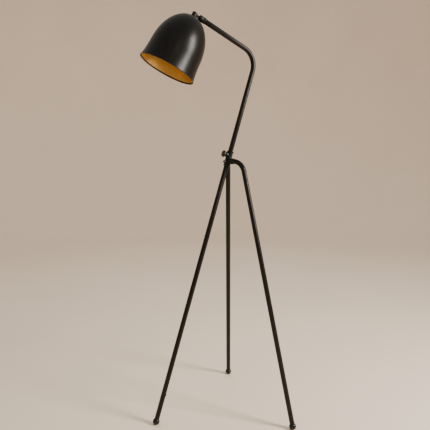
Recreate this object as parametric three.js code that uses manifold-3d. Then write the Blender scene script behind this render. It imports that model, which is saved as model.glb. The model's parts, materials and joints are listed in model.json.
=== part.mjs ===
// Tripod floor lamp, in millimetres, +Z up, +Y towards the back.
// The main tube is the front leg: it slants up from the front foot into the hub, where two bent legs join it.
// The mast slides up out of the main tube, turns about it, and carries the shade on a swivelling, tilting fork.
import * as THREE from "three";
import { mergeVertices } from "three/addons/utils/BufferGeometryUtils.js";
import Module from "manifold-3d";

const wasm = await Module();
wasm.setup();

const degrees = THREE.MathUtils.degToRad;

// Driving dimensions: the stand.
const tubeRadius = 9;
const tubeWall = 1.2;
const footCircle = 285;
const mainLean = degrees(17.2);
const hubHeight = 955;
const legCorner = 61.5;
const legBendRadius = 46.5;
const legDrop = 3;
const footRadius = 12.75;
const footFlat = 4.5;
const grommetHeight = 100;

// Driving dimensions: the hub and its clamp.
const collarRadius = 11.3;
const collarTop = 33.5;
const collarBottom = -21;
const socketRadius = 10.7;
const socketLength = 25;
const clampHeight = 18.5;
const tubeScrewHeight = -8;
const knobRadius = 12.7;

// Driving dimensions: the mast.
const mastCorner = 394.5;
const mastBend = degrees(81.5);
const mastBendRadius = 66;
const armLength = 274.2;
const mastTravel = 180;
const mastOverlap = 60;
const spigotRadius = 7.5;

// Driving dimensions: the knuckle, measured along the arm's axis from the shade's axis.
const pivotSetback = 28;
const forkNose = 19;
const forkRadius = 10.5;
const ferruleEnd = 43.5;
const shankRadius = 5;
const slotHalf = 3.1;
const forkFlat = 9;
const pivotRadius = 2.1;
const headTurn = degrees(-5.4);
const headTilt = degrees(1.6);

// Driving dimensions: the shade, down its own axis from its apex.
const shadeLength = 201;
const domeRadius = 92;
const domeDepth = 134;
const rimRadius = 100.4;
const wallBow = 2;
const shadeWall = 1.2;
const armAboveApex = 9.9;
const capRadius = 9.2;
const capHeight = 15.8;

// Shared small sizes.
const gap = 0.3;
const flexRadius = 2.3;
const nippleRadius = 4.9;
const studRadius = 4;
const tubeSides = 20;
const smallSides = 16;

// Lengths that follow from the driving dimensions.
const tubeBore = tubeRadius - tubeWall;
const footCentre = Math.sqrt(footRadius ** 2 - footFlat ** 2);
const hubDistance = (hubHeight - footCentre) / Math.cos(mainLean);
const hubBack = (hubHeight - footCentre) * Math.tan(mainLean) - footCircle;
const tubeStart = Math.sqrt(footRadius ** 2 - tubeRadius ** 2) + gap;
const spigotBottom = collarTop - mastTravel - mastOverlap;

// ---------------------------------------------------------------- materials
const finish = (color, roughness, metalness) => new THREE.MeshStandardMaterial({ color, roughness, metalness });
const blackPaint = () => finish(0x1c1c1a, 0.42, 0.2);
const glossBlack = () => finish(0x141312, 0.18, 0.1);
const steel = () => finish(0xa8a8a4, 0.35, 0.9);
const brass = () => finish(0xb8923e, 0.3, 0.9);
const nylon = () => finish(0xd8d4c8, 0.6, 0);
const phenolic = () => finish(0x1a1918, 0.35, 0);
const rubber = () => finish(0x181818, 0.85, 0);
const opalGlass = () => finish(0xf4f1ea, 0.25, 0);

// ---------------------------------------------------------------- solids
// A solid of revolution about Z from [radius, height] points that go round counter-clockwise.
function turned(points, sides = smallSides) {
  const outline = points.map(([radius, height]) => new THREE.Vector2(radius, height));
  return new THREE.LatheGeometry(outline, sides).rotateX(Math.PI / 2);
}

function rod(radius, from, to, sides = smallSides) {
  return turned([[0, from], [radius, from], [radius, to], [0, to]], sides);
}

// A rod with a small chamfer at both ends.
function chamferedRod(radius, from, to, chamfer, sides = smallSides) {
  return turned(
    [
      [0, from],
      [radius - chamfer, from],
      [radius, from + chamfer],
      [radius, to - chamfer],
      [radius - chamfer, to],
      [0, to],
    ],
    sides,
  );
}

function ring(inner, outer, from, to, sides = smallSides) {
  return turned([[inner, from], [outer, from], [outer, to], [inner, to], [inner, from]], sides);
}

function block(width, depth, height, x, y, z) {
  return new THREE.BoxGeometry(width, depth, height).translate(x, y, z);
}

function hexNut(flats, hole, from, to) {
  const outline = new THREE.Shape();
  const corner = flats / Math.sqrt(3);
  for (let side = 0; side < 6; side += 1) {
    const angle = (side * Math.PI) / 3;
    const method = side === 0 ? "moveTo" : "lineTo";
    outline[method](corner * Math.cos(angle), corner * Math.sin(angle));
  }
  outline.closePath();
  const bore = new THREE.Path();
  bore.absarc(0, 0, hole, 0, 2 * Math.PI, true);
  outline.holes.push(bore);
  const options = { depth: to - from, bevelEnabled: false, curveSegments: 8 };
  return new THREE.ExtrudeGeometry(outline, options).translate(0, 0, from);
}

function toSolid(geometry) {
  const bare = geometry.clone();
  bare.deleteAttribute("normal");
  bare.deleteAttribute("uv");
  const merged = mergeVertices(bare, 1e-4);
  const mesh = new wasm.Mesh({
    numProp: 3,
    vertProperties: new Float32Array(merged.attributes.position.array),
    triVerts: new Uint32Array(merged.index.array),
  });
  return new wasm.Manifold(mesh);
}

function fromSolid(solid) {
  const mesh = solid.getMesh();
  const geometry = new THREE.BufferGeometry();
  geometry.setAttribute("position", new THREE.BufferAttribute(new Float32Array(mesh.vertProperties), 3));
  geometry.setIndex(new THREE.BufferAttribute(new Uint32Array(mesh.triVerts), 1));
  geometry.computeVertexNormals();
  return geometry;
}

function joined(first, ...others) {
  return fromSolid(others.reduce((solid, other) => solid.add(toSolid(other)), toSolid(first)));
}

function cut(body, ...tools) {
  return fromSolid(tools.reduce((solid, tool) => solid.subtract(toSolid(tool)), toSolid(body)));
}

// A rod across the main tube, pointing to the front (side -1) or the back (side 1) at a height up its axis.
function crossRod(radius, from, to, height, side) {
  return rod(radius, from, to).rotateX((-side * Math.PI) / 2).translate(0, 0, height);
}

// ---------------------------------------------------------------- bent tubes
// A path in the YZ plane: straight along +Z, one round bend, then straight along the new direction.
// Its stations are spaced by the bend's steps, so that each straight takes one step.
class BentPath extends THREE.Curve {
  constructor({ start, corner, bend, radius, end, steps }) {
    super();
    const tangent = radius * Math.tan(bend / 2);
    this.bend = bend;
    this.radius = radius;
    this.steps = steps;
    this.start = start;
    this.bendStart = corner - tangent;
    this.lastRun = end - tangent;
  }

  get stations() {
    return this.steps + 2;
  }

  getPoint(t) {
    const station = t * this.stations;
    if (station <= 1) {
      return new THREE.Vector3(0, 0, THREE.MathUtils.lerp(this.start, this.bendStart, station));
    }
    const turn = (this.bend * Math.min(station - 1, this.steps)) / this.steps;
    const run = this.lastRun * Math.max(station - 1 - this.steps, 0);
    return new THREE.Vector3(
      0,
      -this.radius * (1 - Math.cos(turn)) - run * Math.sin(turn),
      this.bendStart + this.radius * Math.sin(turn) + run * Math.cos(turn),
    );
  }

  getTangent(t) {
    const turn = (this.bend * THREE.MathUtils.clamp(t * this.stations - 1, 0, this.steps)) / this.steps;
    return new THREE.Vector3(0, -Math.sin(turn), Math.cos(turn));
  }

  getPointAt(u) {
    return this.getPoint(u);
  }

  getTangentAt(u) {
    return this.getTangent(u);
  }
}

function sweep(path, outer, inner, sides) {
  const section = new THREE.Shape();
  section.absarc(0, 0, outer, 0, 2 * Math.PI, false);
  if (inner > 0) {
    const bore = new THREE.Path();
    bore.absarc(0, 0, inner, 0, 2 * Math.PI, true);
    section.holes.push(bore);
  }
  return new THREE.ExtrudeGeometry(section, {
    steps: path.stations,
    extrudePath: path,
    curveSegments: sides / 2,
  });
}

// ---------------------------------------------------------------- the scene graph
const lamp = new THREE.Group();

function place(parent, name, geometry, material) {
  const mesh = new THREE.Mesh(geometry, material);
  mesh.name = name;
  parent.add(mesh);
  return mesh;
}

function subgroup(parent, { position = [0, 0, 0], rotation = [0, 0, 0] }) {
  const group = new THREE.Group();
  group.position.set(...position);
  group.rotation.set(...rotation);
  parent.add(group);
  return group;
}

// Everything on the main tube's axis: the hub's centre is the origin and +Z runs up the tube.
const mainAxis = subgroup(lamp, { position: [0, hubBack, hubHeight], rotation: [-mainLean, 0, 0] });

// ---------------------------------------------------------------- feet
// A ball foot with a flat underneath, its threaded stud and the insert in the tube's end.
// The foot keeps level while its stud follows the leg's slant.
function addFoot(side, position, legSlant) {
  const level = subgroup(lamp, { position });
  const slanted = subgroup(level, { rotation: [0, legSlant.tilt, 0] });
  level.rotation.z = legSlant.heading;
  const arcSteps = 10;
  const lowest = Math.asin(footCentre / footRadius);
  const profile = [[0, -footCentre]];
  for (let step = 0; step < arcSteps; step += 1) {
    const angle = THREE.MathUtils.lerp(-lowest, Math.PI / 2, step / arcSteps);
    profile.push([footRadius * Math.cos(angle), footRadius * Math.sin(angle)]);
  }
  profile.push([0, footRadius]);
  const socket = rod(studRadius + gap, -6, footRadius + 1).rotateY(legSlant.tilt);
  const seat = rod(tubeRadius + 1, tubeStart - gap, footRadius + 1).rotateY(legSlant.tilt);
  place(level, side + "_foot", cut(turned(profile, tubeSides), socket, seat), glossBlack());
  place(slanted, side + "_foot_stud", chamferedRod(studRadius, -5.7, tubeStart + 20, 0.8, 12), steel());
  const insert = ring(studRadius + gap, tubeBore - gap, tubeStart + 0.6, tubeStart + 22);
  place(slanted, side + "_foot_insert", insert, steel());
}

// ---------------------------------------------------------------- main tube and hub
function addMainTube() {
  const tube = ring(tubeBore, tubeRadius, tubeStart - hubDistance, collarTop - 0.5, tubeSides);
  const clampHole = crossRod(3.5, 5, 12, clampHeight, -1);
  const screwHole = crossRod(2.8, 5, 12, tubeScrewHeight, -1);
  const cordHole = crossRod(4, 5, 12, grommetHeight - hubDistance, 1);
  place(mainAxis, "main_tube", cut(tube, clampHole, screwHole, cordHole), blackPaint());
}

function addCollar() {
  const bead = 3;
  const topBead = collarRadius + 2.5;
  const bottomBead = collarRadius + 1.9;
  const bore = tubeRadius + gap;
  const profile = [
    [bore, collarBottom],
    [bottomBead - 0.6, collarBottom],
    [bottomBead, collarBottom + 0.6],
    [bottomBead, collarBottom + bead - 0.6],
    [collarRadius, collarBottom + bead],
    [collarRadius, collarTop - bead],
    [topBead, collarTop - bead + 0.4],
    [topBead, collarTop - 0.6],
    [topBead - 0.6, collarTop],
    [bore, collarTop],
    [bore, collarBottom],
  ];
  const clampHole = crossRod(3.5, 5, 16, clampHeight, -1);
  const screwHole = crossRod(2.8, 5, 16, tubeScrewHeight, -1);
  place(mainAxis, "hub_collar", cut(turned(profile, tubeSides), clampHole, screwHole), blackPaint());
}

function addTubeScrew() {
  const profile = [
    [0, tubeBore + 0.4],
    [2.5, tubeBore + 0.4],
    [2.5, collarRadius + gap],
    [5.4, collarRadius + gap],
    [5.4, collarRadius + 3],
    [4.6, collarRadius + 4.7],
    [2.8, collarRadius + 5.6],
    [1.6, collarRadius + 5.6],
    [1.6, collarRadius + 4.1],
    [0, collarRadius + 4.1],
  ];
  const front = subgroup(mainAxis, { position: [0, 0, tubeScrewHeight], rotation: [Math.PI / 2, 0, 0] });
  place(front, "tube_screw", turned(profile), steel());
}

function addGrommet() {
  const across = subgroup(mainAxis, {
    position: [0, 0, grommetHeight - hubDistance],
    rotation: [-Math.PI / 2, 0, 0],
  });
  const tubeSkin = rod(tubeRadius + gap, -8, 8, 40).rotateX(Math.PI / 2);
  const flange = cut(rod(5.6, 5, tubeRadius + 1.2), tubeSkin);
  const sleeve = rod(3.6, tubeBore - 1.2, tubeRadius + 1);
  const bore = rod(2.7, 4, tubeRadius + 3);
  place(across, "cord_grommet", cut(joined(flange, sleeve), bore), rubber());
  const flexFrom = grommetHeight + 6 - hubDistance;
  const flexTo = spigotBottom - 13;
  place(mainAxis, "stand_flex", rod(flexRadius, flexFrom, flexTo, 8), rubber());
}

// ---------------------------------------------------------------- clamp
function addClamp() {
  const across = subgroup(mainAxis, { position: [0, 0, clampHeight], rotation: [Math.PI / 2, 0, 0] });
  const collarSkin = rod(collarRadius + gap, -16, 16, 40).rotateX(Math.PI / 2);
  const boss = ring(3.4, 8.8, 5, collarRadius + 6.6, tubeSides);
  place(across, "clamp_boss", cut(boss, collarSkin), blackPaint());
  place(across, "clamp_pad", rod(3.1, spigotRadius + gap, spigotRadius + 2.4), brass());
  place(across, "clamp_screw", chamferedRod(3, spigotRadius + 2.7, 24, 0.5), steel());
  const knobBack = collarRadius + 7.6;
  const profile = [
    [3.3, knobBack],
    [8.2, knobBack],
    [8.8, knobBack + 1.6],
    [knobRadius - 1.4, knobBack + 2.2],
    [knobRadius, knobBack + 3.6],
    [knobRadius, knobBack + 7.4],
    [knobRadius - 1.5, knobBack + 9.2],
    [knobRadius - 4.5, knobBack + 10.4],
    [0, knobBack + 10.8],
    [0, 24.4],
    [3.3, 24.4],
    [3.3, knobBack],
  ];
  place(across, "thumb_knob", turned(profile, 28), glossBlack());
}

// ---------------------------------------------------------------- bent legs
// Each leg lies in an upright plane that meets the main tube's axis just under the hub's centre: +X there points
// out to its foot.
function addBentLeg(side, sign) {
  const footX = sign * footCircle * Math.sin(Math.PI / 3);
  const footY = footCircle * Math.cos(Math.PI / 3);
  const back = hubBack - legDrop * Math.tan(mainLean);
  const reach = Math.hypot(footX, footY - back);
  const heading = Math.atan2(footY - back, footX);
  const drop = hubHeight - legDrop - footCentre;
  const slant = Math.atan2(reach - legCorner, drop);
  const shinLength = Math.hypot(reach - legCorner, drop);
  const plane = subgroup(lamp, { position: [0, back, hubHeight - legDrop], rotation: [0, 0, heading] });

  const collarSkin = rod(collarRadius + gap, -40, 40, 40).rotateX(-mainLean).rotateZ(-heading);
  const socket = rod(socketRadius, 0, socketLength, tubeSides).rotateY(Math.PI / 2);
  const bore = rod(tubeRadius + gap, 14, socketLength + 1, tubeSides).rotateY(Math.PI / 2);
  const otherHalf = block(40, 60, 60, sign * (gap / 2 - 20), 0, 0).rotateZ(-heading);
  place(plane, side + "_leg_socket", cut(socket, bore, collarSkin, otherHalf), blackPaint());

  const path = new BentPath({
    start: 14.4,
    corner: legCorner,
    bend: Math.PI / 2 - slant,
    radius: legBendRadius,
    end: shinLength - tubeStart,
    steps: 8,
  });
  const leg = sweep(path, tubeRadius, tubeBore, tubeSides);
  const outwards = subgroup(plane, { rotation: [Math.PI / 2, Math.PI / 2, 0] });
  place(outwards, side + "_leg", leg, blackPaint());

  addFoot(side, [footX, footY, footCentre], { heading, tilt: -slant });
}

// ---------------------------------------------------------------- mast
function addMast() {
  const route = {
    corner: mastCorner,
    bend: mastBend,
    radius: mastBendRadius,
  };
  const tubePath = new BentPath({ ...route, start: collarTop + 0.4, end: armLength - ferruleEnd - gap, steps: 9 });
  place(mainAxis, "stem_and_arm_tube", sweep(tubePath, tubeRadius, tubeBore, tubeSides), blackPaint());
  const spigot = ring(spigotRadius - tubeWall, spigotRadius, spigotBottom, collarTop + 60, tubeSides);
  place(mainAxis, "spigot_tube", spigot, steel());
  const bush = [
    [3.2, spigotBottom - 12],
    [spigotRadius - 0.6, spigotBottom - 12],
    [spigotRadius + 0.05, spigotBottom - 11],
    [spigotRadius + 0.05, spigotBottom - gap],
    [spigotRadius - tubeWall - gap, spigotBottom - gap],
    [spigotRadius - tubeWall - gap, spigotBottom + 8],
    [3.2, spigotBottom + 8],
    [3.2, spigotBottom - 12],
  ];
  place(mainAxis, "guide_bush", turned(bush, tubeSides), nylon());
  const flexPath = new BentPath({ ...route, start: spigotBottom + 9, end: armLength - 40, steps: 6 });
  place(mainAxis, "mast_flex", sweep(flexPath, flexRadius, 0, 8), rubber());
}

// ---------------------------------------------------------------- knuckle and head
// The arm's frame: the origin is where the arm's axis meets the shade's axis, +Z points out along the arm
// and -Y points down to the shade's mouth.
const armTip = subgroup(mainAxis, {
  position: [0, -armLength * Math.sin(mastBend), mastCorner + armLength * Math.cos(mastBend)],
  rotation: [mastBend, 0, 0],
});
const turnedTip = subgroup(armTip, { rotation: [0, 0, headTurn] });
const head = subgroup(turnedTip, { position: [0, 0, -pivotSetback], rotation: [-headTilt, 0, 0] });
const shadeAxis = subgroup(head, { position: [0, -armAboveApex, pivotSetback], rotation: [-Math.PI / 2, 0, 0] });

function addFerrule() {
  const profile = [
    [shankRadius + gap, -ferruleEnd - 18],
    [tubeBore - gap, -ferruleEnd - 18],
    [tubeBore - gap, -ferruleEnd],
    [forkRadius, -ferruleEnd],
    [forkRadius, -ferruleEnd + 4.2],
    [shankRadius + gap, -ferruleEnd + 4.2],
    [shankRadius + gap, -ferruleEnd - 18],
  ];
  place(armTip, "arm_ferrule", turned(profile, tubeSides), blackPaint());
}

function addKnuckle() {
  const base = -ferruleEnd + 4.5;
  const slotFloor = -pivotSetback - 7.2;
  const shankEnd = -ferruleEnd - 25.5;
  const profile = [
    [3.2, shankEnd],
    [shankRadius, shankEnd],
    [shankRadius, base],
    [forkRadius, base],
    [forkRadius, -forkNose - 1.6],
    [forkRadius - 1.6, -forkNose],
    [3.2, -forkNose],
    [3.2, shankEnd],
  ];
  const earLength = -forkNose - slotFloor + 2;
  const earMiddle = (-forkNose + 2 + slotFloor) / 2;
  const slot = block(2 * slotHalf, 30, earLength, 0, 0, earMiddle);
  const flatRight = block(4, 30, earLength, forkFlat + 2, 0, earMiddle);
  const flatLeft = block(4, 30, earLength, -forkFlat - 2, 0, earMiddle);
  const pivotHole = rod(pivotRadius + gap, -12, 12).rotateY(Math.PI / 2).translate(0, 0, -pivotSetback);
  place(turnedTip, "fork", cut(turned(profile, tubeSides), slot, flatRight, flatLeft, pivotHole), blackPaint());

  const washer = ring(shankRadius + gap, 7.1, -ferruleEnd - 19.5, -ferruleEnd - 18.3);
  place(turnedTip, "swivel_washer", washer, steel());
  const nut = hexNut(12.6, shankRadius + gap, -ferruleEnd - 24.3, -ferruleEnd - 19.8);
  place(turnedTip, "swivel_nut", nut, steel());

  const pivot = subgroup(turnedTip, { position: [0, 0, -pivotSetback], rotation: [0, Math.PI / 2, 0] });
  const screw = [
    [0, -forkFlat - 4],
    [pivotRadius, -forkFlat - 4],
    [pivotRadius, forkFlat + gap],
    [4, forkFlat + gap],
    [4, forkFlat + 1.6],
    [3, forkFlat + 2.6],
    [1.3, forkFlat + 2.6],
    [1.3, forkFlat + 1.3],
    [0, forkFlat + 1.3],
  ];
  place(pivot, "pivot_screw", turned(screw), steel());
  place(pivot, "pivot_nut", hexNut(7, pivotRadius + gap, -forkFlat - 3.4, -forkFlat - gap), steel());
  for (const [name, side] of [["right", 1], ["left", -1]]) {
    const disc = ring(pivotRadius + gap, 6, -0.25, 0.25).translate(0, 0, side * 2.7);
    place(pivot, name + "_friction_washer", disc, nylon());
  }
}

function addTongue() {
  const half = 2.3;
  const eye = rod(6.2, -half, half, tubeSides).rotateY(Math.PI / 2);
  const bar = block(2 * half, 9, pivotSetback - 6, 0, -0.9, (pivotSetback - 6) / 2);
  const hole = rod(pivotRadius + gap, -4, 4).rotateY(Math.PI / 2);
  place(head, "tongue", cut(joined(eye, bar), hole), steel());
}

function addCap() {
  const profile = [
    [nippleRadius + gap, gap],
    [capRadius, gap],
    [capRadius, capHeight - 1],
    [capRadius - 1, capHeight],
    [0, capHeight],
    [0, 5.2],
    [nippleRadius + gap, 5.2],
    [nippleRadius + gap, gap],
  ];
  const slot = block(5.2, 12, 9.6, 0, 11.7, armAboveApex - 0.9);
  place(shadeAxis, "shade_cap", cut(turned(profile, tubeSides), slot), blackPaint());
}

// The shade's section as [radius, height] points: a half-ellipse dome, a slightly flaring wall, a rolled rim.
function shadeProfile(inset) {
  const domeSteps = 9;
  const hole = 5.4;
  const radius = domeRadius - inset;
  const depth = domeDepth - inset;
  const first = Math.asin(hole / radius);
  const points = [];
  for (let step = 0; step <= domeSteps; step += 1) {
    const angle = THREE.MathUtils.lerp(first, Math.PI / 2, step / domeSteps);
    points.push([radius * Math.sin(angle), -inset - depth * (1 - Math.cos(angle))]);
  }
  points.push([(domeRadius + rimRadius) / 2 - wallBow - inset, -(domeDepth + shadeLength) / 2]);
  points.push([rimRadius - inset, 1.6 - shadeLength]);
  return points;
}

function addShade() {
  const outside = shadeProfile(0);
  const inside = shadeProfile(shadeWall);
  const rim = [
    [rimRadius + 0.8, 1.2 - shadeLength],
    [rimRadius + 0.6, -shadeLength],
    [rimRadius - shadeWall + 0.2, -shadeLength],
  ];
  const section = [...inside, ...rim.reverse(), ...outside.reverse(), inside[0]];
  place(shadeAxis, "shade", turned(section, 44), blackPaint());
}

function addShadeFixings() {
  place(shadeAxis, "nipple", ring(3.5, nippleRadius, -24, 4.9), steel());
  place(shadeAxis, "shade_washer", ring(nippleRadius + gap, 9.5, -3.2, -2.3), steel());
  place(shadeAxis, "lock_nut", hexNut(14, nippleRadius + gap, -7, -3.5), steel());
  place(shadeAxis, "head_flex", rod(flexRadius, -30, 4.6, 8), rubber());
}

function addLampholder() {
  const capTop = -7.3;
  const seam = -30;
  const mouth = -58;
  const holderRadius = 19.5;
  const cover = [
    [nippleRadius + gap, capTop],
    [8, capTop],
    [8.4, capTop - 5],
    [holderRadius - 2, capTop - 11],
    [holderRadius, capTop - 15],
    [holderRadius, seam],
    [holderRadius - 2, seam],
    [holderRadius - 2, capTop - 15],
    [nippleRadius + gap, capTop - 8],
    [nippleRadius + gap, capTop],
  ].reverse();
  place(shadeAxis, "lampholder_cover", turned(cover, tubeSides), phenolic());
  const barrel = [
    [0, seam - 5],
    [14.6, seam - 5],
    [14.6, mouth],
    [holderRadius, mouth],
    [holderRadius, seam - gap],
    [0, seam - gap],
  ];
  place(shadeAxis, "lampholder_barrel", turned(barrel, tubeSides), phenolic());
  place(shadeAxis, "lampholder_shell", ring(13.7, 14.3, mouth + 2, seam - 8, tubeSides), brass());
  place(shadeAxis, "lampholder_contact", rod(3, seam - 6.8, seam - 5.3), brass());
  const outerRing = ring(holderRadius + gap, 22.5, -52, -44, tubeSides);
  place(shadeAxis, "lampholder_ring", outerRing, phenolic());
}

function addBulb() {
  const contactTop = -37.3;
  const capBottom = -62;
  const bulbRadius = 30;
  const bulbTip = -143;
  place(shadeAxis, "bulb_contact", rod(4.2, contactTop - 2.4, contactTop), brass());
  const screwCap = [
    [0, contactTop - 6],
    [8, contactTop - 6],
    [8, contactTop - 4.6],
    [12, capBottom + 1],
    [12, capBottom],
    [13.1, capBottom],
    [13.1, contactTop - 6],
    [9, contactTop - 2.9],
    [0, contactTop - 2.9],
  ];
  place(shadeAxis, "bulb_cap", turned(screwCap, tubeSides), brass());
  const glassWall = 1;
  const neckRadius = 14.5;
  const globeCentre = bulbTip + bulbRadius;
  const neckTop = capBottom - gap;
  const globe = (inset) => {
    const points = [];
    const steps = 8;
    for (let step = 0; step <= steps; step += 1) {
      const angle = THREE.MathUtils.lerp(-Math.PI / 2, Math.PI / 5, step / steps);
      points.push([(bulbRadius - inset) * Math.cos(angle), globeCentre + (bulbRadius - inset) * Math.sin(angle)]);
    }
    points.push([neckRadius + 1.5 - inset, neckTop - 14]);
    points.push([neckRadius - inset, neckTop]);
    return points;
  };
  const section = [...globe(0), ...globe(glassWall).reverse()];
  place(shadeAxis, "bulb_glass", turned(section, 24), opalGlass());
}

addMainTube();
addCollar();
addTubeScrew();
addGrommet();
addClamp();
addFoot("front", [0, -footCircle, footCentre], { heading: Math.PI / 2, tilt: mainLean });
addBentLeg("right", 1);
addBentLeg("left", -1);
addMast();
addFerrule();
addKnuckle();
addTongue();
addCap();
addShade();
addShadeFixings();
addLampholder();
addBulb();

// The origin is on the floor under the middle of the whole lamp.
const extent = new THREE.Box3().setFromObject(lamp, true);
const middle = extent.getCenter(new THREE.Vector3());
lamp.position.set(-middle.x, -middle.y, -extent.min.z);

export default lamp;
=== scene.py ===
import json
import math

import bpy
from mathutils import Matrix, Vector


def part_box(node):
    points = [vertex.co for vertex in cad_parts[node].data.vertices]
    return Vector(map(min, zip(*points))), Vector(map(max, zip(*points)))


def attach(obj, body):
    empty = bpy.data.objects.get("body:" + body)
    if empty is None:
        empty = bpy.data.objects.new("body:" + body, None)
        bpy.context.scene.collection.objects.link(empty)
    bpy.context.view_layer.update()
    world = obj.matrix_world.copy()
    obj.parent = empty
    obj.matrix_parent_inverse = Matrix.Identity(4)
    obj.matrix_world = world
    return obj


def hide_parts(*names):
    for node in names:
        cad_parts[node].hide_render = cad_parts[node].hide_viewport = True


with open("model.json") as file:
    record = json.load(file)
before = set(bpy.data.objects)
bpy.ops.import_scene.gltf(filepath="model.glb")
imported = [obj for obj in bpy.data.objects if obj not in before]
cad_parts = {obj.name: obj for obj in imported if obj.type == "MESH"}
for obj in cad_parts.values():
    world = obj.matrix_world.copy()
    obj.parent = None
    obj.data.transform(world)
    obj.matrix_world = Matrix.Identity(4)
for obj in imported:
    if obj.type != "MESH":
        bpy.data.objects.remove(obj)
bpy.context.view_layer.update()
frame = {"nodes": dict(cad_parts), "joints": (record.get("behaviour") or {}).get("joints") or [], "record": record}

# Millimetres in the local frames below; the same driving dimensions as the CAD part.
# SUNK is how far a base that is shaped to the collar is set into its skin.
GAP, SUNK = 0.3, 0.6
TUBE, WALL = 9.0, 1.2
BORE = TUBE - WALL
FOOT, FOOT_FLAT = 12.75, 4.5
FOOT_CENTRE = math.sqrt(FOOT**2 - FOOT_FLAT**2)
TUBE_START = math.sqrt(FOOT**2 - TUBE**2) + GAP
FOOT_CIRCLE = 285.0
MAIN_LEAN = math.radians(17.2)
HUB_HEIGHT = 955.0
LEG_CORNER, LEG_RADIUS, LEG_DROP = 61.5, 46.5, 3.0
COLLAR, COLLAR_TOP, COLLAR_BOTTOM = 11.3, 33.5, -21.0
SOCKET, SOCKET_LENGTH, LEG_START = 10.7, 25.0, 14.4
SCREW_HEIGHT, GROMMET_HEIGHT = -8.0, 100.0
KNOB = 12.7
MAST_CORNER, MAST_BEND, MAST_RADIUS = 394.5, math.radians(81.5), 66.0
ARM_LENGTH, FERRULE_END = 274.2, 43.5
SPIGOT, SPIGOT_BOTTOM = 7.5, COLLAR_TOP - 240.0
PIVOT_SETBACK, FORK_NOSE, FORK, SHANK = 28.0, 19.0, 10.5, 5.0
SLOT_HALF, TONGUE_HALF, FORK_FLAT, PIVOT = 3.1, 2.3, 9.0, 2.1
HEAD_TURN, HEAD_TILT = math.radians(-5.4), math.radians(1.6)
SHADE_LENGTH, DOME, DOME_DEPTH, RIM, SHADE_WALL = 201.0, 92.0, 134.0, 100.4, 1.2
FLARE_START, FLARE_POWER, RIM_BEAD = 96.0, 2.6, 1.15
ARM_ABOVE_APEX = 9.9
CAP, CAP_HEIGHT = 9.2, 15.8
NIPPLE, HOLDER = 4.9, 19.5
GLOBE, GLOBE_CENTRE = 30.0, -113.0

MM = 0.001
ROUND = 64
X, Y, Z = Vector((1, 0, 0)), Vector((0, 1, 0)), Vector((0, 0, 1))


# ---------------------------------------------------------------- places
def place(origin, z, x):
    """Takes millimetres in a local frame to metres in the shared frame."""
    z = Vector(z).normalized()
    x = Vector(x)
    x = (x - z * x.dot(z)).normalized()
    turn = Matrix((x, z.cross(x), z)).transposed().to_4x4()
    return Matrix.Translation(Vector(origin)) @ turn @ Matrix.Scale(MM, 4)


def at(x=0.0, y=0.0, z=0.0):
    return Matrix.Translation((x, y, z))


joints = {joint["name"]: joint for joint in frame["joints"]}


def joint_place(name):
    """A joint's frame: its axis is +Z, and +X is as near as may be to the shared frame's."""
    return place(joints[name]["pos_m"], joints[name]["axis"], X)


main = joint_place("mast_swivel")
clamp = joint_place("knob_turn")
arm = joint_place("head_swivel")
fork = arm @ Matrix.Rotation(HEAD_TURN, 4, "Z")
head = fork @ at(z=-PIVOT_SETBACK) @ Matrix.Rotation(-HEAD_TILT, 4, "X")
shade_axis = head @ at(y=-ARM_ABOVE_APEX, z=PIVOT_SETBACK) @ Matrix.Rotation(-math.pi / 2, 4, "X")
hub = main.translation.copy()
apex = shade_axis.translation.copy()
shade_up = (shade_axis.to_3x3() @ Z).normalized()


# ---------------------------------------------------------------- outlines and solids
def rounded(points, steps=4):
    """Rounds the corners of an outline of (radius, height[, fillet[, shape]]) points, anticlockwise."""
    points = [tuple(p) + (0.0, None)[len(p) - 2 :] for p in points]
    whole = not (points[0][0] == 0 and points[-1][0] == 0)
    out = []
    for i, (r, z, fillet, shape) in enumerate(points):
        inner = whole or 0 < i < len(points) - 1
        if not fillet or not inner:
            out.append((r, z, shape))
            continue
        here = Vector((r, z))
        before = here - Vector(points[i - 1][:2])
        after = Vector(points[(i + 1) % len(points)][:2]) - here
        a, b = before.normalized(), after.normalized()
        turn = math.acos(max(-1.0, min(1.0, a.dot(b))))
        if turn < 0.02:
            out.append((r, z, shape))
            continue
        reach = min(fillet * math.tan(turn / 2), 0.48 * before.length, 0.48 * after.length)
        fillet = reach / math.tan(turn / 2)
        side = 1.0 if a.x * b.y - a.y * b.x > 0 else -1.0
        normal = Vector((-a.y, a.x)) * side
        centre = here - a * reach + normal * fillet
        for k in range(steps + 1):
            angle = turn * k / steps
            p = centre - normal * fillet * math.cos(angle) + a * fillet * math.sin(angle)
            out.append((max(p.x, 0.0), p.y, shape))
    return out


def hexagon(angle):
    """A hexagon's radius over its flats' radius."""
    return 1 / math.cos((angle % (math.pi / 3)) - math.pi / 6)


def fluted(angle, count=22, depth=0.032):
    """A knob's grip: rounded grooves between narrow ridges."""
    return 1 - depth * (0.5 + 0.5 * math.cos(angle * count)) ** 2


def straight(s):
    return Vector((0, 0, s)), X, Y


def bent(corner, bend, radius):
    """A path up +Z that bends once towards -Y; the parameter is the length from the origin."""
    first = corner - radius * math.tan(bend / 2)

    def point(s):
        turn = min(max((s - first) / radius, 0.0), bend)
        run = max(s - first - radius * bend, 0.0)
        y = -radius * (1 - math.cos(turn)) - run * math.sin(turn)
        z = min(s, first) + radius * math.sin(turn) + run * math.cos(turn)
        return Vector((0, y, z)), X, Vector((0, math.cos(turn), math.sin(turn)))

    point.first = first
    point.last = first + radius * bend
    return point


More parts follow.
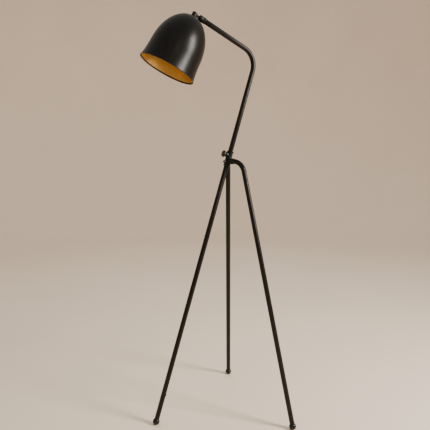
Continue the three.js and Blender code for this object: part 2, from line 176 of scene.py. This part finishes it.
def revolved(profile, sides=ROUND, path=straight):
    """A closed solid about a path from (radius, height, shape) points.

    A solid is its vertices, its faces and the outline's segment that made each face.
    """
    verts, rows, faces, segments = [], [], [], []
    for r, z, shape in profile:
        centre, across, up = path(z)
        if r < 1e-6:
            rows.append([len(verts)])
            verts.append(centre)
            continue
        rows.append(range(len(verts), len(verts) + sides))
        for k in range(sides):
            angle = 2 * math.pi * k / sides
            radius = r * (shape(angle) if shape else 1.0)
            verts.append(centre + across * radius * math.cos(angle) + up * radius * math.sin(angle))
    count = len(profile)
    last = count - 1 if len(rows[0]) == 1 and len(rows[-1]) == 1 else count
    for i in range(last):
        low, high = rows[i], rows[(i + 1) % count]
        if len(low) == 1 and len(high) == 1:
            continue
        for k in range(sides):
            n = (k + 1) % sides
            if len(low) == 1:
                faces.append((low[0], high[n], high[k]))
            elif len(high) == 1:
                faces.append((low[k], low[n], high[0]))
            else:
                faces.append((low[k], low[n], high[n], high[k]))
            segments.append(i)
    return verts, faces, segments


def turned(points, sides=ROUND, steps=4, path=straight):
    return revolved(rounded(points, steps), sides, path)


def pipe(outer, inner, start, end, edge, path=straight, stops=()):
    """A tube along a path, with its four edges rounded."""
    corners = [
        (inner, start, edge / 2),
        (outer, start, edge),
        (outer, end, edge),
        (inner, end, edge / 2),
    ]
    profile = rounded(corners, 3)
    out = []
    for i, p in enumerate(profile):
        q = profile[(i + 1) % len(profile)]
        out.append(p)
        between = [s for s in stops if min(p[1], q[1]) < s < max(p[1], q[1])]
        if q[1] < p[1]:
            between.reverse()
        out.extend((p[0], s, None) for s in between)
    return revolved(out, 40, path)


def evenly(low, high, count):
    return [low + (high - low) * k / count for k in range(count + 1)]


def bend_stops(route, step=2.0):
    """Places along a bend, near enough to one another to draw it round."""
    return evenly(route.first, route.last, max(2, round((route.last - route.first) / step)))


def box(x0, x1, y0, y1, z0, z1):
    verts = [Vector((x, y, z)) for x in (x0, x1) for y in (y0, y1) for z in (z0, z1)]
    faces = [(0, 1, 3, 2), (4, 6, 7, 5), (0, 4, 5, 1), (2, 3, 7, 6), (0, 2, 6, 4), (1, 5, 7, 3)]
    return verts, faces, [0] * 6


def moved(solid, matrix):
    return [matrix @ v for v in solid[0]], solid[1], solid[2]


def together(*solids):
    verts, faces, segments = [], [], []
    for v, f, s in solids:
        start = len(verts)
        verts.extend(v)
        faces.extend(tuple(i + start for i in face) for face in f)
        segments.extend(s)
    return verts, faces, segments


def linked(name, data):
    obj = bpy.data.objects.new(name, data)
    bpy.context.scene.collection.objects.link(obj)
    return obj


def scratch(solid):
    mesh = bpy.data.meshes.new("scratch")
    mesh.from_pydata(solid[0], [], solid[1])
    return linked("scratch", mesh)


def carved(solid, added=(), removed=(), bevel=0.35):
    """Joins and cuts solids, then rounds the sharp edges."""
    obj = scratch(solid)
    tools = [("UNION", scratch(s)) for s in added] + [("DIFFERENCE", scratch(s)) for s in removed]
    for operation, tool in tools:
        modifier = obj.modifiers.new("carve", "BOOLEAN")
        modifier.operation, modifier.object, modifier.solver = operation, tool, "EXACT"
    edge = obj.modifiers.new("edge", "BEVEL")
    edge.width, edge.segments, edge.limit_method, edge.angle_limit = bevel, 2, "ANGLE", math.radians(38)
    bpy.context.view_layer.update()
    made = bpy.data.meshes.new_from_object(obj.evaluated_get(bpy.context.evaluated_depsgraph_get()))
    verts = [v.co.copy() for v in made.vertices]
    faces = [tuple(p.vertices) for p in made.polygons]
    bpy.data.meshes.remove(made)
    for used in [obj] + [tool for _, tool in tools]:
        bpy.data.objects.remove(used)
    return verts, faces, [0] * len(faces)


def bead(points, radius, sides=12):
    """A closed round weld bead through (point, outward) pairs."""
    verts, faces = [], []
    count = len(points)
    for i, (p, outward) in enumerate(points):
        along = (points[(i + 1) % count][0] - points[i - 1][0]).normalized()
        n = (outward - along * along.dot(outward)).normalized()
        b = along.cross(n)
        for k in range(sides):
            angle = 2 * math.pi * k / sides
            verts.append(p + n * radius * math.cos(angle) + b * radius * math.sin(angle))
    for i in range(count):
        j = (i + 1) % count
        for k in range(sides):
            n = (k + 1) % sides
            faces.append((i * sides + k, j * sides + k, j * sides + n, i * sides + n))
    return verts, faces, [0] * len(faces)


# ---------------------------------------------------------------- materials
def node(tree, kind, **sockets):
    made = tree.nodes.new(kind)
    for name, value in sockets.items():
        made.inputs[name.replace("_", " ")].default_value = value
    return made


def noise(tree, coords, size_mm, detail, rough, stretch=None):
    """Object-space noise whose features are about size_mm across."""
    made = node(tree, "ShaderNodeTexNoise", Scale=1 / (size_mm * MM), Detail=detail, Roughness=rough)
    source = coords
    if stretch:
        scale = tree.nodes.new("ShaderNodeMapping")
        scale.inputs["Scale"].default_value = stretch
        tree.links.new(coords, scale.inputs["Vector"])
        source = scale.outputs["Vector"]
    tree.links.new(source, made.inputs["Vector"])
    return made.outputs["Fac"]


def spread(tree, value, low, high, start=0.3, stop=0.7):
    made = node(tree, "ShaderNodeMapRange", From_Min=start, From_Max=stop, To_Min=low, To_Max=high)
    tree.links.new(value, made.inputs["Value"])
    return made.outputs["Result"]


def tint(tree, value, dark, light, start=0.35, stop=0.65):
    ramp = tree.nodes.new("ShaderNodeValToRGB")
    ramp.color_ramp.elements[0].position, ramp.color_ramp.elements[1].position = start, stop
    ramp.color_ramp.elements[0].color = (*dark, 1)
    ramp.color_ramp.elements[1].color = (*light, 1)
    tree.links.new(value, ramp.inputs["Fac"])
    return ramp.outputs["Color"]


def bump(tree, height, depth_mm, after=None):
    made = node(tree, "ShaderNodeBump", Strength=1.0, Distance=depth_mm * MM)
    tree.links.new(height, made.inputs["Height"])
    if after:
        tree.links.new(after, made.inputs["Normal"])
    return made.outputs["Normal"]


def along(tree, coords, direction, origin):
    """The distance along a direction from a point, in metres."""
    shift = tree.nodes.new("ShaderNodeVectorMath")
    shift.operation = "SUBTRACT"
    shift.inputs[1].default_value = origin
    tree.links.new(coords, shift.inputs[0])
    made = tree.nodes.new("ShaderNodeVectorMath")
    made.operation = "DOT_PRODUCT"
    made.inputs[1].default_value = direction
    tree.links.new(shift.outputs[0], made.inputs[0])
    return made.outputs["Value"]


def finish(name, dark, light, rough, cloud_mm, grain, metallic=0.0, stretch=None, rings=None, **fixed):
    """A procedural finish: clouded colour and roughness, with bumps.

    Grain is a list of bumps' (size, depth) in millimetres, and rings are the marks of spinning
    round an axis: (direction, origin, pitch, depth).
    """
    made = bpy.data.materials.new(name)
    made.use_nodes = True
    tree = made.node_tree
    shader = tree.nodes["Principled BSDF"]
    shader.inputs["Metallic"].default_value = metallic
    for socket, value in fixed.items():
        shader.inputs[socket.replace("_", " ")].default_value = value
    coords = tree.nodes.new("ShaderNodeTexCoord").outputs["Object"]
    cloud = noise(tree, coords, cloud_mm, 4.0, 0.6)
    fine = noise(tree, coords, cloud_mm / 9, 2.0, 0.5, stretch)
    tree.links.new(tint(tree, cloud, dark, light), shader.inputs["Base Color"])
    tree.links.new(spread(tree, fine, *rough), shader.inputs["Roughness"])
    normal = None
    for size_mm, depth_mm in grain:
        normal = bump(tree, noise(tree, coords, size_mm, 2.0, 0.5, stretch), depth_mm, normal)
    if rings:
        direction, origin, pitch_mm, depth_mm = rings
        wave = tree.nodes.new("ShaderNodeTexNoise")
        wave.noise_dimensions = "1D"
        wave.inputs["Scale"].default_value = 1 / (pitch_mm * MM)
        wave.inputs["Detail"].default_value = 2.0
        tree.links.new(along(tree, coords, direction, origin), wave.inputs["W"])
        normal = bump(tree, wave.outputs["Fac"], depth_mm, normal)
    if normal:
        tree.links.new(normal, shader.inputs["Normal"])
    return made


paint = finish(
    "satin_powder_coat",
    (0.003, 0.0027, 0.0023),
    (0.0045, 0.0041, 0.0035),
    (0.27, 0.34),
    55,
    [(1.7, 0.011), (0.35, 0.002)],
    Specular_IOR_Level=0.22,
)
shade_paint = finish(
    "satin_shade_enamel",
    (0.003, 0.0027, 0.0023),
    (0.0045, 0.0041, 0.0035),
    (0.3, 0.36),
    70,
    [(2.4, 0.012), (0.4, 0.002)],
    rings=(shade_up, apex, 3.0, 0.006),
    Specular_IOR_Level=0.22,
)
gold = finish(
    "gold_lining_paint",
    (0.6, 0.36, 0.09),
    (0.7, 0.44, 0.125),
    (0.3, 0.4),
    60,
    [(1.2, 0.01), (0.18, 0.004)],
    metallic=0.75,
    rings=(shade_up, apex, 2.0, 0.012),
)
gloss = finish(
    "gloss_black_enamel",
    (0.004, 0.0038, 0.0035),
    (0.006, 0.0057, 0.0052),
    (0.16, 0.22),
    20,
    [(2.2, 0.004)],
    Specular_IOR_Level=0.25,
    Coat_Weight=0.12,
    Coat_Roughness=0.08,
)
dark_steel = finish(
    "blackened_steel",
    (0.05, 0.05, 0.05),
    (0.085, 0.083, 0.08),
    (0.28, 0.42),
    6,
    [(0.5, 0.004)],
    metallic=1.0,
)
bright_steel = finish(
    "zinc_plate",
    (0.44, 0.45, 0.46),
    (0.58, 0.58, 0.57),
    (0.22, 0.36),
    9,
    [(0.6, 0.003)],
    metallic=1.0,
)
drawn_steel = finish(
    "drawn_tube_steel",
    (0.5, 0.5, 0.49),
    (0.6, 0.6, 0.59),
    (0.16, 0.3),
    14,
    [(0.7, 0.004)],
    metallic=1.0,
    stretch=(9.0, 2.0, 0.4),
)
brass = finish(
    "plain_brass",
    (0.56, 0.38, 0.13),
    (0.66, 0.47, 0.18),
    (0.2, 0.34),
    8,
    [(0.6, 0.003)],
    metallic=1.0,
)
nylon = finish(
    "natural_nylon",
    (0.6, 0.57, 0.48),
    (0.66, 0.63, 0.55),
    (0.45, 0.58),
    6,
    [(0.4, 0.004)],
)
phenolic = finish(
    "moulded_phenolic",
    (0.013, 0.011, 0.01),
    (0.02, 0.017, 0.015),
    (0.24, 0.34),
    12,
    [(1.0, 0.006)],
)
rubber = finish(
    "black_rubber",
    (0.012, 0.012, 0.012),
    (0.018, 0.018, 0.018),
    (0.6, 0.78),
    5,
    [(0.3, 0.01)],
)
opal = finish(
    "opal_glass",
    (0.84, 0.83, 0.8),
    (0.9, 0.89, 0.86),
    (0.1, 0.16),
    40,
    [(6.0, 0.008)],
    Subsurface_Weight=0.35,
    Subsurface_Scale=0.004,
)

SLOT_FINISH = {
    "black_paint": paint,
    "shade_paint": shade_paint,
    "gloss_black": gloss,
    "dark_steel": dark_steel,
    "bright_steel": bright_steel,
    "brass": brass,
    "nylon": nylon,
    "phenolic": phenolic,
    "rubber": rubber,
    "opal_glass": opal,
}
node_slot = {s["node"]: s["material_slot"] for s in frame["record"]["subparts"]}
node_body = {n: body for body, nodes in frame["record"]["behaviour"]["bodies"].items() for n in nodes}
for name, obj in frame["nodes"].items():
    for slot in obj.material_slots:
        slot.material = SLOT_FINISH[node_slot[name]]


# ---------------------------------------------------------------- pieces
def smooth_mesh(name, solid, where, finishes):
    verts, faces, _ = solid
    mesh = bpy.data.meshes.new(name)
    mesh.from_pydata([where @ v for v in verts], [], faces)
    mesh.polygons.foreach_set("use_smooth", [True] * len(faces))
    for made in finishes:
        mesh.materials.append(made)
    return mesh


def piece(name, solid, where, stands_for, finishes=None, painted=None, crease=35):
    """A fine mesh that replaces a CAD node and rides on its body."""
    mesh = smooth_mesh(name, solid, where, finishes or [SLOT_FINISH[node_slot[stands_for]]])
    if painted:
        mesh.polygons.foreach_set("material_index", [painted(segment) for segment in solid[2]])
    mesh.set_sharp_from_angle(angle=math.radians(crease))
    mesh.update()
    obj = linked(name, mesh)
    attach(obj, node_body[stands_for])
    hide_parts(stands_for)


# Along the main tube from the front foot's centre to the hub, and the place of the feet's circle.
hub_distance = (HUB_HEIGHT - FOOT_CENTRE) / math.cos(MAIN_LEAN)
centre_y = hub.y / MM - ((HUB_HEIGHT - FOOT_CENTRE) * math.tan(MAIN_LEAN) - FOOT_CIRCLE)

# The main tube, which is also the front leg.
main_tube = pipe(TUBE, BORE, TUBE_START - hub_distance, COLLAR_TOP - 0.5, 0.25)
piece("fine_main_tube", main_tube, main, "main_tube")

# The hub's collar, with a bead at each end.
collar = [
    (TUBE + GAP, COLLAR_BOTTOM, 0.3),
    (COLLAR + 1.9, COLLAR_BOTTOM, 1.4),
    (COLLAR + 1.9, COLLAR_BOTTOM + 3.1, 1.4),
    (COLLAR, COLLAR_BOTTOM + 3.3, 0.9),
    (COLLAR, COLLAR_TOP - 3.3, 0.9),
    (COLLAR + 2.5, COLLAR_TOP - 3.1, 1.4),
    (COLLAR + 2.5, COLLAR_TOP, 1.4),
    (TUBE + GAP, COLLAR_TOP, 0.5),
]
piece("fine_hub_collar", turned(collar, steps=6), main, "hub_collar")

# The button-head screw that fixes the main tube.
button = [
    (0, BORE + 0.4),
    (2.5, BORE + 0.4),
    (2.5, COLLAR + 0.25),
    (5.4, COLLAR + 0.25, 0.15),
    (5.4, COLLAR + 3.0, 0.7),
    (4.4, COLLAR + 4.9, 1.6),
    (2.4, COLLAR + 5.6, 0.8),
    (1.55, COLLAR + 5.55, 0.12, hexagon),
    (1.55, COLLAR + 4.0, 0, hexagon),
    (0, COLLAR + 3.7),
]
front_screw = main @ at(z=SCREW_HEIGHT) @ Matrix.Rotation(math.pi / 2, 4, "X")
piece("fine_tube_screw", turned(button, 48, 5), front_screw, "tube_screw", crease=30)

# The cord grommet, whose flange lies round the tube.
saddle = [
    (2.7, 5.4, 0.3),
    (3.6, 5.4, 0.3),
    (3.6, TUBE + 0.05),
    (5.6, TUBE + 0.05),
    (5.6, TUBE + 0.9, 0.7),
    (3.6, TUBE + 2.2, 0.8),
    (2.7, TUBE + 2.2, 0.5),
]
verts, faces, segments = turned(saddle, 48, 5)
for v in verts:
    if v.z > TUBE - 1:
        v.z += math.sqrt(TUBE**2 - min(abs(v.x), 8.0) ** 2) - TUBE
back_hole = main @ at(z=GROMMET_HEIGHT - hub_distance) @ Matrix.Rotation(-math.pi / 2, 4, "X")
piece("fine_cord_grommet", (verts, faces, segments), back_hole, "cord_grommet")

# The clamp's boss, whose base is shaped to the collar.
boss_base = 7.0
boss = [
    (3.4, boss_base),
    (8.8, boss_base),
    (8.8, COLLAR + 6.6, 1.2),
    (3.4, COLLAR + 6.6, 0.4),
]
verts, faces, segments = turned(boss, 96)
for v in verts:
    if abs(v.z - boss_base) < 1e-6:
        v.z = math.sqrt(COLLAR**2 - v.x**2) - SUNK
piece("fine_clamp_boss", (verts, faces, segments), clamp, "clamp_boss")


# The clamp's screw and its knob, which turn together.
def threaded(radius, pitch, start, end, sides=32):
    """A plain core with raised rings at the thread's pitch between its two ends."""
    core, root = radius - 0.5, radius - 0.45
    profile = [(0, start), (core, start, 0.2)]
    level = start + pitch
    while level < end - pitch:
        profile += [(root, level - 0.25 * pitch), (radius, level)]
        profile += [(radius, level + 0.2 * pitch), (root, level + 0.45 * pitch)]
        level += pitch
    profile += [(core, end), (0, end)]
    return turned(profile, sides)


piece("fine_clamp_screw", threaded(3.0, 1.0, SPIGOT + 2.7, 24.0), clamp, "clamp_screw")
back = COLLAR + 7.6
knob = [
    (3.3, back, 0.3),
    (8.3, back, 0.8),
    (8.8, back + 1.8, 0.8),
    (KNOB - 1.3, back + 2.2, 1.0, fluted),
    (KNOB, back + 3.8, 1.2, fluted),
    (KNOB, back + 7.2, 2.0, fluted),
    (KNOB - 1.8, back + 9.4, 1.6, fluted),
    (KNOB - 4.4, back + 10.4, 1.6),
    (0, back + 10.8),
    (0, 24.4),
    (3.3, 24.4),
]
piece("fine_thumb_knob", turned(knob, 176, 5), clamp, "thumb_knob", crease=50)


# The bent legs, their sockets and welds.
def leg_plane(sign):
    """The upright plane of a bent leg, with the foot's distance along its +X.

    Its origin is on the main tube's axis.
    """
    start = main @ Vector((0, 0, -LEG_DROP / math.cos(MAIN_LEAN)))
    foot_x = sign * FOOT_CIRCLE * math.sin(math.pi / 3)
    foot_y = FOOT_CIRCLE * 0.5 + centre_y - start.y / MM
    heading = Matrix.Rotation(math.atan2(foot_y, foot_x), 4, "Z")
    return Matrix.Translation(start) @ heading @ Matrix.Scale(MM, 4), math.hypot(foot_x, foot_y)


def socket_reach(plane, across):
    """How far out along +X the collar's skin lies, for an offset across the socket."""
    axis = (plane.to_3x3().inverted() @ (main.to_3x3() @ Z)).normalized()
    run = X - axis * X.dot(axis)
    off = across - axis * across.dot(axis)
    a, b, c = run.dot(run), run.dot(off), off.dot(off) - COLLAR**2
    return (-b + math.sqrt(b * b - a * c)) / a


def leg_socket(plane):
    """The sleeve that holds a leg, shaped to the collar, with its brazing fillet."""
    base, stop, sides = 3.0, 13.5, 96
    sleeve = [
        (0, base),
        (SOCKET, base),
        (SOCKET, SOCKET_LENGTH, 0.9),
        (TUBE + GAP, SOCKET_LENGTH, 0.4),
        (TUBE + GAP, stop),
        (0, stop),
    ]
    solid = turned(sleeve, ROUND)
    for v in solid[0]:
        if abs(v.z - base) < 1e-6 and v.length > SOCKET:
            v.z = socket_reach(plane, Vector((0, v.x, v.y))) - SUNK
    rim = []
    for k in range(sides):
        angle = 2 * math.pi * k / sides
        radial = Vector((math.cos(angle), math.sin(angle), 0))
        height = socket_reach(plane, Vector((0, radial.x, radial.y)) * SOCKET)
        rim.append((radial * (SOCKET + 0.1) + Z * (height + 0.1), radial + Z * 0.6))
    return together(solid, bead(rim, 1.5))


for side, sign in (("right", 1), ("left", -1)):
    plane, reach = leg_plane(sign)
    outwards = plane @ Matrix(((0, 0, 1, 0), (1, 0, 0, 0), (0, 1, 0, 0), (0, 0, 0, 1)))
    piece(f"fine_{side}_leg_socket", leg_socket(plane), outwards, f"{side}_leg_socket")

    drop = HUB_HEIGHT - LEG_DROP - FOOT_CENTRE
    bend = math.pi / 2 - math.atan2(reach - LEG_CORNER, drop)
    shin = math.hypot(reach - LEG_CORNER, drop)
    route = bent(LEG_CORNER, bend, LEG_RADIUS)
    end = route.last + shin - TUBE_START - LEG_RADIUS * math.tan(bend / 2)
    leg = pipe(TUBE, BORE, LEG_START, end, 0.25, route, bend_stops(route))
    down = plane @ Matrix.Rotation(math.pi / 2, 4, "Y") @ Matrix.Rotation(math.pi / 2, 4, "Z")
    piece(f"fine_{side}_leg", leg, down, f"{side}_leg")

# The ball feet, each a ball with a small flat.
low = math.asin(FOOT_CENTRE / FOOT)
ball = [(0, -FOOT_CENTRE), (FOOT_FLAT - 0.5, -FOOT_CENTRE)]
for angle in evenly(-low, math.pi / 2, 28):
    ball.append((FOOT * math.cos(angle), FOOT * math.sin(angle)))
ball[-1] = (0, FOOT)
for side in ("front", "right", "left"):
    lowest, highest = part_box(f"{side}_foot")
    centre = (lowest + highest) / 2
    centre.z = FOOT_CENTRE * MM
    piece(f"fine_{side}_foot", turned(ball), place(centre, Z, X), f"{side}_foot")

# The mast: stem, bend and arm in one tube, the spigot that telescopes, and the ferrule.
route = bent(MAST_CORNER, MAST_BEND, MAST_RADIUS)
arm_end = route.last + ARM_LENGTH - FERRULE_END - GAP - MAST_RADIUS * math.tan(MAST_BEND / 2)
stem = pipe(TUBE, BORE, COLLAR_TOP + 0.4, arm_end, 0.3, route, bend_stops(route))
piece("fine_stem_and_arm_tube", stem, main, "stem_and_arm_tube")
spigot = pipe(SPIGOT, SPIGOT - WALL, SPIGOT_BOTTOM, COLLAR_TOP + 60, 0.3)
piece("fine_spigot_tube", spigot, main, "spigot_tube", finishes=[drawn_steel])
ferrule = [
    (SHANK + GAP, -FERRULE_END - 18),
    (BORE - GAP, -FERRULE_END - 18),
    (BORE - GAP, -FERRULE_END),
    (FORK, -FERRULE_END, 0.3),
    (FORK, -FERRULE_END + 4.2, 0.5),
    (SHANK + GAP, -FERRULE_END + 4.2, 0.3),
]
piece("fine_arm_ferrule", turned(ferrule), arm, "arm_ferrule")

# The knuckle: a slotted fork with its pivot screw and nut.
base = -FERRULE_END + 4.5
fork_turning = [
    (0, -FERRULE_END - 25.5),
    (SHANK, -FERRULE_END - 25.5, 0.4),
    (SHANK, base),
    (FORK, base, 0.5),
    (FORK, -FORK_NOSE, 2.6),
    (0, -FORK_NOSE),
]
ears = (-PIVOT_SETBACK - 7.2, -FORK_NOSE + 4)
slot_and_flats = [
    box(-SLOT_HALF, SLOT_HALF, -15, 15, *ears),
    box(FORK_FLAT, 14, -15, 15, *ears),
    box(-14, -FORK_FLAT, -15, 15, *ears),
]
fork_solid = carved(turned(fork_turning, ROUND), removed=slot_and_flats)
piece("fine_fork", fork_solid, fork, "fork")
pivot = fork @ at(z=-PIVOT_SETBACK) @ Matrix.Rotation(math.pi / 2, 4, "Y")
pivot_screw = [
    (0, -FORK_FLAT - 4),
    (PIVOT, -FORK_FLAT - 4, 0.4),
    (PIVOT, FORK_FLAT + 0.25),
    (4, FORK_FLAT + 0.25, 0.15),
    (4, FORK_FLAT + 1.7, 0.8),
    (2.6, FORK_FLAT + 2.6, 0.8),
    (1.35, FORK_FLAT + 2.6, 0.1, hexagon),
    (1.35, FORK_FLAT + 1.3, 0, hexagon),
    (0, FORK_FLAT + 1.1),
]
piece("fine_pivot_screw", turned(pivot_screw, 48, 5), pivot, "pivot_screw", crease=30)


def nut(flats, hole, start, end):
    """A hexagonal nut, chamfered round at both faces."""
    half = flats / 2
    corner = half * 2 / math.sqrt(3)
    drop = (corner - half) * 0.55
    outline = [
        (hole, start, 0.2),
        (half, start, 0.1),
        (half, start + drop, 0.1, hexagon),
        (half, end - drop, 0.1, hexagon),
        (half, end, 0.1),
        (hole, end, 0.2),
    ]
    return turned(outline, 48)


pivot_nut = nut(7, PIVOT + 0.1, -FORK_FLAT - 3.4, -FORK_FLAT - 0.25)
piece("fine_pivot_nut", pivot_nut, pivot, "pivot_nut", crease=25)


# The head's tongue: a round eye on the pivot and a flat bar into the cap.
def crosswise(radius, half, sides):
    """A plain disc about the X axis."""
    outline = [(0, -half), (radius, -half), (radius, half), (0, half)]
    return moved(turned(outline, sides), Matrix.Rotation(math.pi / 2, 4, "Y"))


eye = crosswise(6.2, TONGUE_HALF, 48)
bar = box(-TONGUE_HALF, TONGUE_HALF, -5.4, 3.6, 0, PIVOT_SETBACK - 6)
hole = crosswise(PIVOT + 0.2, 5, 32)
piece("fine_tongue", carved(eye, added=[bar], removed=[hole], bevel=0.5), head, "tongue")

# The cap on the shade's top, slotted for the tongue.
cap = [
    (0, 5.2),
    (NIPPLE + GAP, 5.2),
    (NIPPLE + GAP, 0.25),
    (CAP, 0.25, 0.5),
    (CAP, CAP_HEIGHT, 1.5),
    (0, CAP_HEIGHT),
]
slot_half = TONGUE_HALF + GAP
cap_slot = box(-slot_half, slot_half, 5.7, 17.7, ARM_ABOVE_APEX - 5.7, ARM_ABOVE_APEX + 3.9)
slotted_cap = carved(turned(cap, ROUND, 6), removed=[cap_slot], bevel=0.25)
piece("fine_shade_cap", slotted_cap, shade_axis, "shade_cap")


# The spun shade, painted outside and gold inside, with a rolled bead at its rim.
def shade_radius(depth):
    """The shade's outer radius at a depth under its apex: an elliptical dome, flared to the rim."""
    share = min(depth / DOME_DEPTH, 1.0)
    dome = DOME * math.sqrt(1 - (1 - share) ** 2)
    flare = max(0.0, (depth - FLARE_START) / (SHADE_LENGTH - FLARE_START)) ** FLARE_POWER
    return dome + (RIM - DOME) * flare


top_hole = math.asin(5.4 / DOME)
depths = [DOME_DEPTH * (1 - math.cos(angle)) for angle in evenly(top_hole, math.pi / 2, 40)]
depths += evenly(DOME_DEPTH, SHADE_LENGTH - 2.2, 20)[1:]
outside, inside = [], []
for depth in depths:
    r = shade_radius(depth)
    before = shade_radius(depth - 0.5) if depth > 0.6 else 0.0
    slope = Vector((r - before, 0.5)).normalized()
    outside.append((r, -depth))
    inside.append((r - SHADE_WALL * slope.y, -depth - SHADE_WALL * slope.x))
roll = []
for angle in evenly(math.radians(-140), math.radians(75), 14):
    r = RIM - 0.15 + RIM_BEAD * math.cos(angle)
    roll.append((r, -SHADE_LENGTH + RIM_BEAD + RIM_BEAD * math.sin(angle)))
shade_outline = [(*p, None) for p in inside + roll + outside[::-1]]
lined = len(inside) - 2
piece(
    "fine_shade",
    revolved(shade_outline, 128),
    shade_axis,
    "shade",
    finishes=[shade_paint, gold],
    painted=lambda segment: 1 if segment < lined else 0,
    crease=60,
)
piece("fine_lock_nut", nut(14, NIPPLE + 0.2, -7, -3.5), shade_axis, "lock_nut", crease=25)

# The lampholder: its domed cover, its barrel and its ring.
cover = [
    (NIPPLE + GAP, -7.3, 0.2),
    (8, -7.3, 0.6),
    (8.5, -12, 0.8),
    (HOLDER - 3, -17.5, 2.5),
    (HOLDER, -23, 2.5),
    (HOLDER, -30, 0.3),
    (HOLDER - 2, -30, 0.2),
    (HOLDER - 2, -22.3),
    (NIPPLE + GAP, -15.3),
][::-1]


def ribbed(angle, count=36, depth=0.022):
    """A grip of narrow ribs, for the barrel and the ring."""
    return 1 - depth * (0.5 + 0.5 * math.cos(angle * count)) ** 3


piece("fine_lampholder_cover", turned(cover, ROUND, 5), shade_axis, "lampholder_cover")
barrel = [
    (0, -35),
    (14.6, -35),
    (14.6, -58, 0.4),
    (HOLDER, -58, 0.8),
    (HOLDER, -42.5, 0.3),
    (HOLDER, -41.5, 0.3, ribbed),
    (HOLDER, -32.5, 0.3, ribbed),
    (HOLDER, -31.5, 0.3),
    (HOLDER, -30.3, 0.3),
    (0, -30.3),
]
piece("fine_lampholder_barrel", turned(barrel, 216), shade_axis, "lampholder_barrel", crease=50)
ring = [
    (HOLDER + GAP, -52, 0.3),
    (22.5, -52, 0.8, ribbed),
    (22.5, -44, 0.8, ribbed),
    (HOLDER + GAP, -44, 0.3),
]
piece("fine_lampholder_ring", turned(ring, 216), shade_axis, "lampholder_ring", crease=50)

# The bulb: an opal globe drawn in to its neck, and a screw cap.
bulb = []
for angle in evenly(-math.pi / 2, math.radians(38), 32):
    bulb.append((GLOBE * math.cos(angle), GLOBE_CENTRE + GLOBE * math.sin(angle)))
bulb[0] = (0, GLOBE_CENTRE - GLOBE)
bulb += [(19.2, -85.0, 9), (15.6, -73, 8), (14.5, -62.3, 0.4)]
bulb += [(13.4, -62.3, 0.3), (13.4, -74, 2), (0, -78)]
piece("fine_bulb_glass", turned(bulb, ROUND, 6), shade_axis, "bulb_glass")


def screw_cap():
    """The bulb's screw cap: rolled threads between the solder tip's insulator and the glass."""
    outline = [(0, -43.3), (8, -43.3), (8, -41.9), (12, -61), (12, -62), (13.1, -62, 0.3)]
    level = -60.0
    while level < -44.5:
        outline += [(12.3, level, 0.5), (13.1, level + 1.6, 0.7)]
        level += 3.2
    outline += [(12.6, -43.3, 0.6), (9, -40.2, 0.4), (0, -40.2)]
    return turned(outline, ROUND)


piece("fine_bulb_cap", screw_cap(), shade_axis, "bulb_cap")

# ---------------------------------------------------------------- studio
AWAY = Vector((-0.8967, 0.4426, 0.0))
RIGHT = AWAY.cross(Z)

backdrop = finish(
    "pale_backdrop",
    (0.79, 0.665, 0.53),
    (0.82, 0.695, 0.56),
    (0.75, 0.85),
    900,
    [(3.0, 0.02)],
    Specular_IOR_Level=0.2,
)
# A round floor that curves up into its wall, in metres; the closed solid's top is left off.
flat, cove, wall_top = 3.6, 2.2, 4.5
sweep = [(0, 0, None)]
for angle in evenly(0, math.pi / 2, 24):
    sweep.append((flat + cove * math.sin(angle), cove * (1 - math.cos(angle)), None))
sweep.append((flat + cove, wall_top, None))
verts, faces, segments = revolved(sweep + [(0.0, wall_top, None)], 96)
inwards = [f[::-1] for f, s in zip(faces, segments) if s < len(sweep) - 1]
floor = smooth_mesh("floor", (verts, inwards, []), Matrix.Identity(4), [backdrop])
linked("floor", floor)


def area_light(name, location, target, size, energy, colour, glossy=True):
    data = bpy.data.lights.new(name, "AREA")
    data.shape = "RECTANGLE"
    data.size, data.size_y = size
    data.energy, data.color = energy, colour
    obj = linked(name, data)
    obj.location = location
    obj.rotation_mode = "QUATERNION"
    obj.rotation_quaternion = (target - location).to_track_quat("-Z", "Y")
    obj.visible_glossy = glossy


middle = Z * 0.9
key_place = middle + RIGHT * 2.1 - AWAY * 0.9 + Z * 0.75
fill_place = Vector((2.66, -0.56, 1.9))
wash_place = middle - RIGHT * 2.4 - AWAY * 1.6 + Z
top_place = AWAY * 1.5 + Z * 4.2
area_light("key", key_place, middle, (0.6, 1.4), 105, (1.0, 0.96, 0.91))
area_light("fill", fill_place, middle, (0.5, 0.5), 4.5, (1.0, 0.97, 0.92))
area_light("wash", wash_place, middle, (1.8, 1.8), 14, (1.0, 0.97, 0.94), glossy=False)
area_light("top", top_place, AWAY * 2.0, (2.4, 2.4), 62, (1.0, 0.98, 0.95), glossy=False)

world = bpy.data.worlds.new("studio")
bpy.context.scene.world = world
world.use_nodes = True
world.node_tree.nodes["Background"].inputs["Color"].default_value = (0.9, 0.86, 0.8, 1)
world.node_tree.nodes["Background"].inputs["Strength"].default_value = 0.55

camera_data = bpy.data.cameras.new("camera")
camera_data.lens, camera_data.sensor_width = 41.5, 36.0
camera = linked("camera", camera_data)
pitch = math.radians(7.7)
camera.location = (1.6116, -0.7642, 1.0)
camera.rotation_mode = "QUATERNION"
camera.rotation_quaternion = (AWAY * math.cos(pitch) - Z * math.sin(pitch)).to_track_quat("-Z", "Y")
bpy.context.scene.camera = camera
